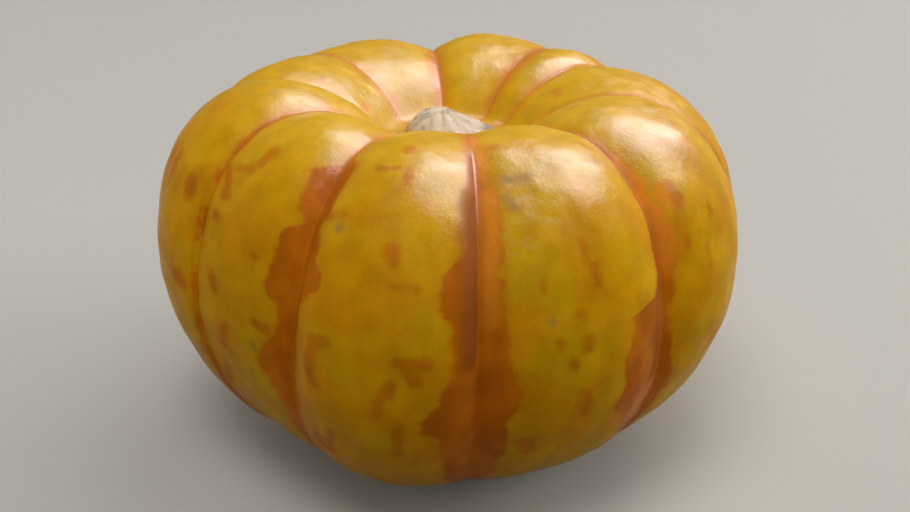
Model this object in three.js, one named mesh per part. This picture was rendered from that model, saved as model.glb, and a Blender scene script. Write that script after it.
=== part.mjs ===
// A mini pumpkin: a squat ribbed fruit of ten lobes with a dimple on top, and the low corky scar
// left in the dimple where the stem broke off.
//
// Millimetres, +Z up. The fruit stands on the flat of its blossom end, which is centred on the
// origin. Angles are in degrees, counterclockwise from +X as seen from above.

import * as THREE from 'three';
import { mergeVertices } from 'three/addons/utils/BufferGeometryUtils.js';

// ---- Driving dimensions ------------------------------------------------------------------------

// The fruit's outline along the ridge of a lobe, from the middle of the dimple over the shoulder
// and down to the blossom end. Each row is a control point of a smooth curve: its radius, its
// height, and how deep a groove is cut below the ridge there.
const OUTLINE = [
  [0, 52.6, 0], // the dimple's floor, flat where the scar sits
  [9.6, 52.6, 0],
  [11.6, 52.6, 0.9],
  [14.2, 57, 1.8],
  [21.5, 61.5, 2.4],
  [31, 63.5, 3], // the shoulder, the highest part
  [42, 60, 4.6],
  [49.5, 49.5, 4.6],
  [51.5, 34.5, 3.6], // the belly, the widest part
  [48.5, 20.5, 2.6],
  [40.5, 9, 1],
  [29, 1.2, 0.6],
  [20, 0, 0.3],
  [13, 0, 0], // the flat of the blossom end
  [6.5, 0, 0],
  [0, 0, 0],
];

// The ten grooves, counterclockwise. `at` is where a groove crosses the belly and `lean` is how far
// it turns round the fruit from the dimple to the blossom end. `depth` scales the outline's groove
// depth. `side` and `top` are how far the lobe that follows the groove stands out of the outline at
// its belly and its shoulder: a negative lobe is a flatter one.
const GROOVES = [
  { at: -146, lean: 17, depth: 0.6, side: -2.5, top: 0 },
  { at: -117, lean: -17, depth: 1, side: 2.5, top: -0.4 },
  { at: -85, lean: -4, depth: 0.65, side: 0, top: 0 },
  { at: -46, lean: 5, depth: 1.3, side: 0, top: 0.2 },
  { at: -10, lean: -20, depth: 0.75, side: 0.2, top: -1.1 },
  { at: 36, lean: 1, depth: 1, side: -3, top: -0.4 },
  { at: 56.5, lean: -2, depth: 0.6, side: 1.6, top: -0.6 },
  { at: 97.5, lean: 2, depth: 1.5, side: 1.4, top: -1 },
  { at: 145, lean: -6, depth: 0.5, side: -3, top: 0.2 },
  { at: 178, lean: -10, depth: 0.6, side: 0.2, top: 1.3 },
];

// A lobe's cross-section: it drops away from its ridge as 1 - (1 - u^ROUND)^CREASE, with u from 0 on
// the ridge to 1 in the groove. A lower CREASE closes the groove to a sharper line.
const LOBE_ROUND = 1.9;
const LOBE_CREASE = 0.85;

// Where along the outline (in control points) the swelling of a lobe is centred, and its reach.
const SHOULDER_AT = 5;
const SHOULDER_REACH = 3;
const BELLY_AT = 8;
const BELLY_REACH = 4;
const LEAN_PIVOT = 0.45; // the share of the outline at which a groove stands at its `at`

// The scar: a low cone of cork with an uneven edge, a little left of the fruit's axis.
const SCAR_RADIUS = 7.4;
const SCAR_CENTRE = { x: -0.5, y: 0 };
const SCAR_EDGE_WAVES = [
  { waves: 2, size: 0.22, from: 0 },
  { waves: 3, size: 0.2, from: 75 },
  { waves: 5, size: 0.14, from: 10 },
];
const SCAR_RIM = 0.5; // thickness at its edge
const SCAR_RISE = 3.9; // how much higher its peak is than its rim
const SCAR_SLOPE = 1.2; // 1 for a straight-sided cone, 2 for a round dome
const SCAR_PEAK = { x: -1, y: 1.2 }; // the peak's place beside the scar's own centre
const SCAR_FLUTES = 9;
const SCAR_FLUTE_DEPTH = 0.22;
const SEAT_GAP = 0.3; // clearance between the scar and the dimple's floor

// Facets
const COLUMNS_PER_LOBE = 10;
const FRUIT_ROWS = 38;
const SCAR_COLUMNS = 54;
const SCAR_ROWS = 12;
const SCAR_TOP_SHARE = 0.75; // the share of the scar's rows above its edge

const SKIN = { color: 0xd79a16, roughness: 0.42, metalness: 0 };
const CORK = { color: 0xcbb58f, roughness: 0.9, metalness: 0 };

// ---- Curves -----------------------------------------------------------------------------------

/**
 * The outline as a uniform cubic B-spline, mirrored across the axis at both ends so that it meets
 * the axis square. A point holds the radius in x, the height in y and the groove depth in z.
 */
class OutlineCurve extends THREE.Curve {
  constructor(rows) {
    super();
    this.last = rows.length - 1;
    const points = rows.map((row) => new THREE.Vector3(...row));
    const mirrored = (point) => new THREE.Vector3(-point.x, point.y, point.z);
    this.points = [mirrored(points[1]), ...points, mirrored(points[this.last - 1])];
  }

  getPoint(share, target = new THREE.Vector3()) {
    const along = share * this.last;
    const first = Math.min(Math.floor(along), this.last - 1);
    const f = along - first;
    const weights = [
      (1 - f) ** 3,
      3 * f ** 3 - 6 * f ** 2 + 4,
      -3 * f ** 3 + 3 * f ** 2 + 3 * f + 1,
      f ** 3,
    ];
    target.set(0, 0, 0);
    weights.forEach((weight, i) => target.addScaledVector(this.points[first + i], weight / 6));
    return target;
  }

  /** The direction straight out of the skin, in the plane of the outline. */
  getNormal(share) {
    const tangent = this.getTangent(share);
    return new THREE.Vector2(-tangent.y, tangent.x).normalize();
  }
}

/** A smooth hump of height 1 at `centre` that is 0 from `reach` away. */
function hump(value, centre, reach) {
  const away = Math.min(Math.abs(value - centre) / reach, 1);
  return Math.cos((away * Math.PI) / 2) ** 2;
}

// ---- Geometry ---------------------------------------------------------------------------------

/**
 * Shapes the grid of a sphere by `place(column, share, target)`: columns run counterclockwise and
 * share goes from 0 at the top pole to 1 at the bottom one. The seam and the poles are merged.
 */
function closedShape(columns, rows, place) {
  const grid = new THREE.SphereGeometry(1, columns, rows);
  const position = grid.attributes.position;
  const point = new THREE.Vector3();
  for (let row = 0; row <= rows; row += 1) {
    for (let column = 0; column <= columns; column += 1) {
      place(column % columns, row / rows, point);
      position.setXYZ(row * (columns + 1) + column, point.x, point.y, point.z);
    }
  }
  grid.deleteAttribute('normal');
  grid.deleteAttribute('uv');
  const merged = mergeVertices(grid, 1e-4);
  merged.computeVertexNormals();
  return merged;
}

/** The ribbed fruit: the outline turned round the axis, with the grooves cut into it. */
function fruitGeometry() {
  const outline = new OutlineCurve(OUTLINE);
  const azimuthAt = (groove, share) => groove.at + groove.lean * (share - LEAN_PIVOT);

  return closedShape(GROOVES.length * COLUMNS_PER_LOBE, FRUIT_ROWS, (column, share, target) => {
    const lobe = Math.floor(column / COLUMNS_PER_LOBE);
    const across = (column % COLUMNS_PER_LOBE) / COLUMNS_PER_LOBE;
    const groove = GROOVES[lobe];
    const next = GROOVES[(lobe + 1) % GROOVES.length];
    const start = azimuthAt(groove, share);
    const end = azimuthAt(next, share) + (lobe + 1 === GROOVES.length ? 360 : 0);
    const azimuth = THREE.MathUtils.degToRad(THREE.MathUtils.lerp(start, end, across));

    const u = Math.abs(2 * across - 1);
    const drop = 1 - (1 - u ** LOBE_ROUND) ** LOBE_CREASE;
    const along = share * outline.last;
    const ridge = outline.getPoint(share);
    const normal = outline.getNormal(share);
    const cut = ridge.z * THREE.MathUtils.lerp(groove.depth, next.depth, across) * drop;
    const swell =
      (1 - drop) *
      (groove.side * hump(along, BELLY_AT, BELLY_REACH) +
        groove.top * hump(along, SHOULDER_AT, SHOULDER_REACH));
    const out = swell - cut;
    const radius = ridge.x + normal.x * out;
    target.set(radius * Math.cos(azimuth), radius * Math.sin(azimuth), ridge.y + normal.y * out);
  });
}

/** The corky scar: flat below, and above it a fluted cone with its peak off centre. */
function scarGeometry() {
  const underside = OUTLINE[0][1] + SEAT_GAP;

  return closedShape(SCAR_COLUMNS, SCAR_ROWS, (column, share, target) => {
    const azimuth = (column / SCAR_COLUMNS) * 2 * Math.PI;
    const edge = SCAR_EDGE_WAVES.reduce((radius, { waves, size, from }) => {
      return radius + size * Math.cos(waves * azimuth - THREE.MathUtils.degToRad(from));
    }, SCAR_RADIUS);
    const below = share > SCAR_TOP_SHARE;
    const reach = below ? (1 - share) / (1 - SCAR_TOP_SHARE) : share / SCAR_TOP_SHARE;
    const shift = below ? 0 : 1 - reach;
    target.x = SCAR_CENTRE.x + edge * reach * Math.cos(azimuth) + SCAR_PEAK.x * shift;
    target.y = SCAR_CENTRE.y + edge * reach * Math.sin(azimuth) + SCAR_PEAK.y * shift;
    target.z = underside;
    if (!below) {
      const flutes = SCAR_FLUTE_DEPTH * Math.cos(SCAR_FLUTES * azimuth) * Math.sin(Math.PI * reach);
      target.z += SCAR_RIM + SCAR_RISE * (1 - reach ** SCAR_SLOPE) + flutes;
    }
  });
}

// ---- Scene graph ------------------------------------------------------------------------------

function part(name, geometry, finish) {
  const mesh = new THREE.Mesh(geometry, new THREE.MeshStandardMaterial(finish));
  mesh.name = name;
  return mesh;
}

const pumpkin = new THREE.Group();
pumpkin.add(part('fruit', fruitGeometry(), SKIN));
pumpkin.add(part('stem_scar', scarGeometry(), CORK));

export default pumpkin;
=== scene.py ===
"""A striped mini pumpkin: a squat ribbed fruit of ten lobes and the corky scar of its broken stem.

Sizes are millimetres and angles are degrees, counterclockwise from +X as seen from above, until a
mesh is written, which is in metres. The studio is in metres throughout. The outline is that of the
solid that is loaded as the frame, and so are the grooves, but for small shifts of two of them, so
that each piece stands where its solid does.
"""

import logging
import math
import random
from dataclasses import dataclass, field
from enum import Enum

import bpy
import numpy as np
from mathutils import Matrix, Vector


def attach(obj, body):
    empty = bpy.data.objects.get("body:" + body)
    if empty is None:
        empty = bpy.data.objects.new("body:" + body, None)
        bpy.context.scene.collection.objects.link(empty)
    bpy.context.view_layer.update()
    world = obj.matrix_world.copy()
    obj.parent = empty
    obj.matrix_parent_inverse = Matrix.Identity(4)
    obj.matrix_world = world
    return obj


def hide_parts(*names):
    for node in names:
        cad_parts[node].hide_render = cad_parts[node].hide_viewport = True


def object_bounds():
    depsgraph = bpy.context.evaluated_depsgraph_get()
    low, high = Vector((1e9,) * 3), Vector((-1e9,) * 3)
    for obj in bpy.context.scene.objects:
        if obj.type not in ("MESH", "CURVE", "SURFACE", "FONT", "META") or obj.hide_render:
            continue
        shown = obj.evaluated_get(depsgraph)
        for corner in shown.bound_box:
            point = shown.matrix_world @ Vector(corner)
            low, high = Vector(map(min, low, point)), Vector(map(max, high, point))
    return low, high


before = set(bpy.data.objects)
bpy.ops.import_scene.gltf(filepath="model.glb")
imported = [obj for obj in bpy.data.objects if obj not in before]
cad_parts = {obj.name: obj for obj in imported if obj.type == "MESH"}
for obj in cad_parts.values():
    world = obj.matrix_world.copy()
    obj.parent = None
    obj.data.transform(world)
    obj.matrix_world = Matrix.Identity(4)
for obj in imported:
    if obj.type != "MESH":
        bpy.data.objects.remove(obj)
SOLID_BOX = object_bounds()

LOG = logging.getLogger("pumpkin")
MM = 0.001

Socket = bpy.types.NodeSocket
Value = Socket | float | tuple[float, ...]
Colour = Place = Stretch = tuple[float, float, float]
Span = tuple[float, float]
Ramp = Span | tuple[float, float, float, float]  # start, end, low and high, as for `fade`
Grid = dict[str, np.ndarray]


# ---- Node trees --------------------------------------------------------------------------------


class Wiring:
    """Adds nodes to a tree and joins them, so that a formula is read in the order it is worked."""

    def __init__(self, tree: bpy.types.NodeTree) -> None:
        """Starts on a tree that may be empty."""
        self.tree = tree

    def node(
        self, kind: str, feeds: dict[str | int, Value] | None = None, **settings: object
    ) -> bpy.types.Node:
        """Adds one node.

        Args:
            kind: The node's type name.
            feeds: What goes into its inputs, by name or number: another node's output or a value.
            **settings: Properties of the node, such as its operation.

        Returns:
            The new node.
        """
        made = self.tree.nodes.new(kind)
        for name, setting in settings.items():
            setattr(made, name, setting)
        for place, value in (feeds or {}).items():
            self.feed(made.inputs[place], value)
        return made

    def feed(self, socket: Socket, value: Value) -> None:
        """Links a socket to another one, or sets its value."""
        if isinstance(value, bpy.types.NodeSocket):
            self.tree.links.new(value, socket)
        else:
            socket.default_value = value

    def math(self, operation: str, *values: Value, clamp: bool = False) -> Socket:
        """The result of one arithmetic step."""
        feeds = dict(enumerate(values))
        return self.node("ShaderNodeMath", feeds, operation=operation, use_clamp=clamp).outputs[0]

    def add(self, *values: Value) -> Socket:
        """The sum of all the values."""
        total = values[0]
        for value in values[1:]:
            total = self.math("ADD", total, value)
        return total

    def times(self, *values: Value) -> Socket:
        """The product of all the values."""
        product = values[0]
        for value in values[1:]:
            product = self.math("MULTIPLY", product, value)
        return product

    def most(self, first: Value, second: Value) -> Socket:
        """The larger of two values."""
        return self.math("MAXIMUM", first, second)

    def fade(self, value: Value, start: float, end: float, low: float = 0.0, high: float = 1.0) -> Socket:
        """Runs smoothly from low to high while the value goes from start to end."""
        feeds = {"Value": value, "From Min": start, "From Max": end, "To Min": low, "To Max": high}
        return self.node("ShaderNodeMapRange", feeds, interpolation_type="SMOOTHSTEP").outputs[0]

    def vector(self, operation: str, feeds: dict[str | int, Value]) -> Socket:
        """The result of one step on vectors."""
        return self.node("ShaderNodeVectorMath", feeds, operation=operation).outputs[0]

    def scaled(self, vector: Value, amount: Value) -> Socket:
        """A direction or a colour times a number."""
        return self.vector("SCALE", {0: vector, "Scale": amount})

    def stretched(self, place: Socket, stretch: Stretch) -> Socket:
        """Coordinates in which a pattern comes out longer along each axis."""
        return self.vector("MULTIPLY", {0: place, 1: tuple(1 / amount for amount in stretch)})

    def cloud(self, place: Socket, scale: Value, detail: float, seed: Value) -> Socket:
        """A soft cloudy pattern of any scale, which keeps near 0.5."""
        feeds = {"Vector": place, "W": seed, "Scale": scale, "Detail": detail}
        return self.node("ShaderNodeTexNoise", feeds, noise_dimensions="4D").outputs[0]


@dataclass(frozen=True)
class Relief:
    """Soft hills and hollows: their full height and about how far apart they are, in mm."""

    name: str
    height: float
    size: float
    detail: float


class ShapeTree(Wiring):
    """A Geometry Nodes tree with named inputs, which ends as a plain mesh with its material."""

    def __init__(self, name: str) -> None:
        """Starts a tree that takes a mesh and a material."""
        tree = bpy.data.node_groups.new(name, "GeometryNodeTree")
        tree.is_modifier = True
        super().__init__(tree)
        self.entry = tree.nodes.new("NodeGroupInput")
        self.identifiers: dict[str, str] = {}
        self.sizes: dict[str, float] = {}
        self.mesh = self.entering("Mesh", "NodeSocketGeometry")
        self.material = self.entering("Material", "NodeSocketMaterial")

    def entering(self, name: str, kind: str) -> Socket:
        """Adds an input of the tree and gives the socket it comes in by."""
        made = self.tree.interface.new_socket(name, in_out="INPUT", socket_type=kind)
        self.identifiers[name] = made.identifier
        return self.entry.outputs[name]

    def size(self, name: str, value: float) -> Socket:
        """Adds a named number that the tree is driven by, with what it is to be."""
        self.sizes[name] = value
        return self.entering(name, "NodeSocketFloat")

    def own(self, name: str, kind: str = "FLOAT") -> Socket:
        """A value that each vertex of the mesh carries by name."""
        return self.node("GeometryNodeInputNamedAttribute", {"Name": name}, data_type=kind).outputs[0]

    def position(self) -> Socket:
        """Where each vertex is."""
        return self.node("GeometryNodeInputPosition").outputs[0]

    def relief(self, kind: Relief, place: Socket, seed: Socket) -> Socket:
        """How far hills and hollows of that kind lift the skin, in mm."""
        height = self.size(f"{kind.name} height", kind.height)
        size = self.size(f"{kind.name} size", kind.size)
        cloud = self.cloud(place, self.math("DIVIDE", 1 / MM, size), kind.detail, seed)
        return self.times(self.add(cloud, -0.5), height)

    def finish(self, direction: Socket, height: Socket) -> None:
        """Ends the tree: each vertex moved that far that way, everything real, in one material."""
        moved = {"Geometry": self.mesh, "Offset": self.scaled(direction, height)}
        shaped = self.node("GeometryNodeSetPosition", moved).outputs[0]
        real = self.node("GeometryNodeRealizeInstances", {0: shaped}).outputs[0]
        dressed = self.node("GeometryNodeSetMaterial", {"Geometry": real, "Material": self.material})
        self.tree.interface.new_socket("Mesh", in_out="OUTPUT", socket_type="NodeSocketGeometry")
        self.node("NodeGroupOutput", {0: dressed.outputs[0]})

    def apply(self, piece: bpy.types.Object, material: bpy.types.Material) -> None:
        """Runs the tree on a piece and keeps the result as its own plain mesh.

        Args:
            piece: The object, which holds the mesh to start from.
            material: What the finished piece is made of.
        """
        modifier = piece.modifiers.new(self.tree.name, "NODES")
        modifier.node_group = self.tree
        for name, value in {"Material": material, **self.sizes}.items():
            modifier[self.identifiers[name]] = value
        depsgraph = bpy.context.evaluated_depsgraph_get()
        shaped = bpy.data.meshes.new_from_object(
            piece.evaluated_get(depsgraph), preserve_all_data_layers=True, depsgraph=depsgraph
        )
        piece.modifiers.remove(modifier)
        rough = piece.data
        piece.data = shaped
        bpy.data.meshes.remove(rough)
        shaped.name = piece.name


@dataclass(frozen=True)
class Clouds:
    """A soft cloudy pattern of a finish, and the ramp that makes patches of it.

    `size` is about how far apart its clouds are, in mm, and `stretch` is how much longer they are
    along X, Y and Z. `detail` is how many finer layers lie over it. Each seed gives another pattern.
    """

    size: float
    detail: float
    seed: float = 0.0
    ramp: Ramp = (0.0, 1.0)
    stretch: Stretch | None = None


class MaterialTree(Wiring):
    """The node tree of a material, with one Principled shader."""

    def __init__(self, name: str) -> None:
        """Starts a material whose shader is joined to its output."""
        self.material = bpy.data.materials.new(name)
        self.material.use_nodes = True
        super().__init__(self.material.node_tree)
        self.tree.nodes.clear()
        self.shader = self.node("ShaderNodeBsdfPrincipled")
        self.node("ShaderNodeOutputMaterial", {"Surface": self.shader.outputs[0]})
        self.place = self.node("ShaderNodeTexCoord").outputs["Object"]

    def own(self, name: str) -> Socket:
        """A value that each vertex of the mesh carries by name."""
        return self.node("ShaderNodeAttribute", attribute_name=name).outputs["Fac"]

    def noise(self, clouds: Clouds) -> Socket:
        """The value of a cloudy pattern, which keeps near 0.5."""
        place = self.stretched(self.place, clouds.stretch) if clouds.stretch else self.place
        return self.cloud(place, 1 / (clouds.size * MM), clouds.detail, clouds.seed)

    def patches(self, clouds: Clouds) -> Socket:
        """Soft patches: where a cloudy pattern goes from one value to another."""
        return self.fade(self.noise(clouds), *clouds.ramp)

    def cells(self, size: float, stretch: Stretch) -> Socket:
        """Blocks with square corners, each with a random value of its own."""
        place = self.stretched(self.place, stretch)
        feeds = {"Vector": place, "W": 0.0, "Scale": 1 / (size * MM), "Randomness": 0.85}
        node = self.node("ShaderNodeTexVoronoi", feeds, voronoi_dimensions="4D", distance="CHEBYCHEV")
        return self.node("ShaderNodeSeparateColor", {0: node.outputs["Color"]}).outputs[0]

    def blend(self, share: Value, first: Value, second: Value) -> Socket:
        """A colour between two colours, given as numbers or as sockets."""
        node = self.node("ShaderNodeMix", {0: share}, data_type="RGBA")
        for socket, colour in ((node.inputs[6], first), (node.inputs[7], second)):
            self.feed(socket, (*colour, 1.0) if isinstance(colour, tuple) else colour)
        return node.outputs[2]

    def bump(self, height: Socket, depth: float) -> None:
        """Gives the shader small relief of that depth in mm."""
        feeds = {"Height": height, "Distance": depth * MM, "Strength": 1.0}
        self.feed(self.shader.inputs["Normal"], self.node("ShaderNodeBump", feeds).outputs[0])


# ---- Meshes ------------------------------------------------------------------------------------


def closed_skin(name: str, place: np.ndarray, carried: Grid) -> bpy.types.Object:
    """Makes an object of a grid that closes round its columns and to a point at each end.

    Args:
        name: The piece's name.
        place: Where the vertices are in mm, by rows and columns. An end row is one point.
        carried: What the vertices carry by name, a number or a direction each.

    Returns:
        The new object, at the origin.
    """
    rows, columns = place.shape[:2]
    index = 1 + np.arange((rows - 2) * columns).reshape(rows - 2, columns)
    following = np.roll(index, -1, axis=1)
    bottom = index[-1, -1] + 1
    faces = np.stack((index[:-1], index[1:], following[1:], following[:-1]), -1).reshape(-1, 4).tolist()
    faces += [[0, a, b] for a, b in zip(index[0].tolist(), following[0].tolist())]
    faces += [[bottom, b, a] for a, b in zip(index[-1].tolist(), following[-1].tolist())]

    def listed(values: np.ndarray) -> np.ndarray:
        """One value for each vertex, with each end once."""
        between = values[1:-1].reshape(-1, *values.shape[2:])
        return np.concatenate((values[0, :1], between, values[-1, :1]))

    mesh = bpy.data.meshes.new(name)
    mesh.from_pydata((listed(place) * MM).tolist(), [], faces)
    for key, values in carried.items():
        kind, slot = ("FLOAT", "value") if values.ndim == 2 else ("FLOAT_VECTOR", "vector")
        data = mesh.attributes.new(key, kind, "POINT").data
        data.foreach_set(slot, listed(values).astype(np.float32).ravel())
    mesh.shade_smooth()
    piece = bpy.data.objects.new(name, mesh)
    bpy.context.scene.collection.objects.link(piece)
    return piece


# ---- The fruit's shape -------------------------------------------------------------------------

FINE_SHARES = np.linspace(0, 1, 3001)
LEAN_PIVOT = 0.45  # the share of the outline at which a groove stands at its `at`
EASE_SPAN = (0.24, 0.4)  # the shares between which a groove's missing depth comes back
STREAK_START = (0.14, 0, 0)


@dataclass(frozen=True)
class OutlineRow:
    """A control point of the outline along a ridge, with the depth of a groove there."""

    radius: float
    height: float
    groove: float


OUTLINE = (
    OutlineRow(0, 52.6, 0),  # the dimple's floor, flat where the scar sits
    OutlineRow(9.6, 52.6, 0),
    OutlineRow(11.6, 52.6, 0.9),
    OutlineRow(14.2, 57, 1.8),
    OutlineRow(21.5, 61.5, 2.4),
    OutlineRow(31, 63.5, 3),  # the shoulder, the highest part
    OutlineRow(42, 60, 4.6),
    OutlineRow(49.5, 49.5, 4.6),
    OutlineRow(51.5, 34.5, 3.6),  # the belly, the widest part
    OutlineRow(48.5, 20.5, 2.6),
    OutlineRow(40.5, 9, 1),
    OutlineRow(29, 1.2, 0.6),
    OutlineRow(20, 0, 0.3),
    OutlineRow(13, 0, 0),  # the flat of the blossom end
    OutlineRow(6.5, 0, 0),
    OutlineRow(0, 0, 0),
)


class Outline:
    """The outline of a ridge as a uniform cubic B-spline that meets the axis square at both ends."""

    def __init__(self, rows: tuple[OutlineRow, ...]) -> None:
        """Mirrors a row across the axis at each end."""
        points = np.array([(row.radius, row.height, row.groove) for row in rows])
        mirror = np.array((-1, 1, 1))
        self.points = np.vstack((points[1] * mirror, points, points[-2] * mirror))
        self.last = len(rows) - 1

    def at(self, share: np.ndarray) -> np.ndarray:
        """Radius, height and groove depth at shares of the outline, 0 at the top and 1 below."""
        along = np.asarray(share) * self.last
        first = np.clip(along.astype(int), 0, self.last - 1)
        f = along - first
        weights = ((1 - f) ** 3, 3 * f**3 - 6 * f**2 + 4, -3 * f**3 + 3 * f**2 + 3 * f + 1, f**3)
        return sum(self.points[first + i] * weight[..., None] / 6 for i, weight in enumerate(weights))

    def outward(self, share: np.ndarray) -> np.ndarray:
        """The direction straight out of the skin, as a radial and a vertical part."""
        step = 1e-4
        before = self.at(np.clip(share - step, 0, 1))
        after = self.at(np.clip(share + step, 0, 1))
        run = (after - before)[..., :2]
        normal = np.stack((-run[..., 1], run[..., 0]), axis=-1)
        return normal / np.linalg.norm(normal, axis=-1, keepdims=True)

    def lengths(self, share: np.ndarray) -> np.ndarray:
        """How far along the skin each share is from the top, in mm."""
        steps = np.diff(self.at(FINE_SHARES)[:, :2], axis=0)
        run = np.concatenate(([0], np.cumsum(np.hypot(steps[:, 0], steps[:, 1]))))
        return np.interp(share, FINE_SHARES, run)


@dataclass(frozen=True)
class Reach:
    """How far an orange streak spreads from its groove at one height.

    `share` is the place along the outline. `before` and `after` are the shares of the lobe on each
    side that it covers.
    """

    share: float
    before: float
    after: float


@dataclass(frozen=True)
class Groove:
    """A groove from the dimple to the blossom end, with its streak.

    `at` is where it crosses the belly and `lean` is how far it turns round the fruit. `depth`
    scales the outline's groove depth. `side` and `top` are how far the lobe that follows stands out
    of the outline at its belly and its shoulder. `ease` is how much of the depth is missing beside
    the dimple.
    """

    at: float
    lean: float
    depth: float
    side: float
    top: float
    streak: tuple[Reach, ...]
    ease: float = 0

    def azimuth(self, share: np.ndarray) -> np.ndarray:
        """Where the groove runs at each share of the outline."""
        return self.at + self.lean * (share - LEAN_PIVOT)

    def depth_at(self, share: np.ndarray) -> np.ndarray:
        """What scales the outline's groove depth at each share."""
        return self.depth * (1 - self.ease * np.interp(share, EASE_SPAN, (1, 0)))

    def spread(self, share: np.ndarray) -> tuple[np.ndarray, np.ndarray]:
        """How much of the lobe before and of the lobe after the streak covers."""
        places = [reach.share for reach in self.streak]
        before = np.interp(share, places, [reach.before for reach in self.streak])
        after = np.interp(share, places, [reach.after for reach in self.streak])
        return before, after


def streak(*reaches: tuple[float, float, float]) -> tuple[Reach, ...]:
    """A streak from rows of share, reach before the groove and reach after it."""
    return tuple(Reach(*reach) for reach in (STREAK_START, *reaches))


LEFT_STREAK = streak(
    (0.2, 0.03, 0.02), (0.3, 0.02, 0.03), (0.38, 0.05, 0.04), (0.44, 0.06, 0.07),
    (0.52, 0.1, 0.06), (0.58, 0.07, 0.1), (0.66, 0.04, 0.04), (0.74, 0, 0),
)
LEFT_FRONT_STREAK = streak(
    (0.2, 0.02, 0.02), (0.3, 0.02, 0.03), (0.355, 0.02, 0.05), (0.385, 0.02, 0.06),
    (0.4, 0.015, 0.03), (0.43, 0.01, 0.005), (0.5, 0.02, 0), (0.56, 0.03, 0.01), (0.63, 0.04, 0.04),
    (0.68, 0.02, 0.03), (0.74, 0, 0),
)
FRONT_LEFT_STREAK = streak(
    (0.2, 0.03, 0.02), (0.34, 0.02, 0.01), (0.355, 0.02, 0.02), (0.365, 0.05, 0.12),
    (0.375, 0.13, 0.15), (0.385, 0.18, 0.14), (0.4, 0.15, 0.12), (0.425, 0.13, 0.12),
    (0.435, 0.09, 0.1), (0.445, 0.2, 0.1), (0.46, 0.2, 0.13), (0.468, 0.2, 0.19), (0.48, 0.22, 0.18),
    (0.49, 0.26, 0.08), (0.497, 0.24, 0.03), (0.503, 0.13, 0.02), (0.528, 0.14, 0.02),
    (0.535, 0.24, 0.02), (0.55, 0.31, 0.02), (0.562, 0.33, 0.02), (0.57, 0.25, 0.02),
    (0.6, 0.15, 0.04), (0.66, 0.1, 0.03), (0.74, 0.03, 0), (0.82, 0, 0),
)
FRONT_STREAK = streak(
    (0.18, 0.04, 0.04), (0.3, 0.07, 0.05), (0.33, 0.07, 0.05), (0.36, 0.05, 0.07),
    (0.385, 0.05, 0.07), (0.4, 0.06, 0.09), (0.425, 0.08, 0.11), (0.44, 0.09, 0.1),
    (0.452, 0.1, 0.09), (0.46, 0.2, 0.09), (0.485, 0.2, 0.1),
    (0.495, 0.13, 0.11), (0.52, 0.13, 0.14), (0.54, 0.17, 0.17), (0.552, 0.2, 0.2),
    (0.562, 0.29, 0.18), (0.573, 0.27, 0.14), (0.58, 0.18, 0.14), (0.605, 0.17, 0.16),
    (0.66, 0.13, 0.12), (0.76, 0.09, 0.06), (0.86, 0, 0),
)
FRONT_RIGHT_STREAK = streak(
    (0.2, 0.03, 0.02), (0.34, 0.03, 0.02), (0.38, 0.05, 0.05), (0.41, 0.05, 0.07),
    (0.43, 0.05, 0.06), (0.455, 0.05, 0.11), (0.475, 0.06, 0.1), (0.5, 0.07, 0.06),
    (0.507, 0.3, 0.06), (0.516, 0.27, 0.05), (0.54, 0.34, 0.05), (0.56, 0.3, 0.07),
    (0.58, 0.33, 0.13), (0.595, 0.27, 0.12), (0.62, 0.18, 0.09), (0.68, 0.07, 0.04), (0.77, 0, 0),
)
RIGHT_STREAK = streak(
    (0.17, 0.04, 0.03), (0.3, 0.03, 0.02), (0.4, 0.04, 0.05), (0.47, 0.07, 0.06),
    (0.475, 0.13, 0.07), (0.54, 0.11, 0.11), (0.545, 0.06, 0.19), (0.6, 0.08, 0.15),
    (0.7, 0.04, 0.04), (0.76, 0, 0),
)
RIGHT_BACK_STREAK = streak(
    (0.18, 0.03, 0.02), (0.34, 0.02, 0.02), (0.4, 0.06, 0.1), (0.405, 0.15, 0.1),
    (0.46, 0.14, 0.08), (0.465, 0.08, 0.2), (0.52, 0.08, 0.22), (0.525, 0.2, 0.12),
    (0.6, 0.22, 0.14), (0.7, 0.1, 0.1), (0.8, 0, 0),
)
BACK_RIGHT_STREAK = streak(
    (0.16, 0.04, 0.1), (0.2, 0.1, 0.09), (0.27, 0.26, 0.08), (0.3, 0.2, 0.03),
    (0.33, 0.07, 0.02), (0.42, 0.1, 0.13), (0.425, 0.1, 0.24), (0.49, 0.14, 0.22),
    (0.495, 0.28, 0.1), (0.56, 0.24, 0.14), (0.64, 0.16, 0.18), (0.72, 0.08, 0.08), (0.82, 0, 0),
)
BACK_STREAK = streak(
    (0.16, 0.05, 0.14), (0.24, 0.05, 0.12), (0.31, 0.03, 0.05), (0.4, 0.05, 0.07),
    (0.44, 0.16, 0.08), (0.445, 0.16, 0.18), (0.51, 0.1, 0.22), (0.515, 0.24, 0.12),
    (0.59, 0.2, 0.16), (0.68, 0.1, 0.1), (0.78, 0, 0),
)
BACK_LEFT_STREAK = streak(
    (0.18, 0.03, 0.03), (0.3, 0.02, 0.02), (0.38, 0.05, 0.08), (0.43, 0.09, 0.17),
    (0.48, 0.08, 0.15), (0.485, 0.2, 0.08), (0.55, 0.22, 0.12), (0.63, 0.12, 0.16), (0.74, 0.03, 0.03),
    (0.8, 0, 0),
)

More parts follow.
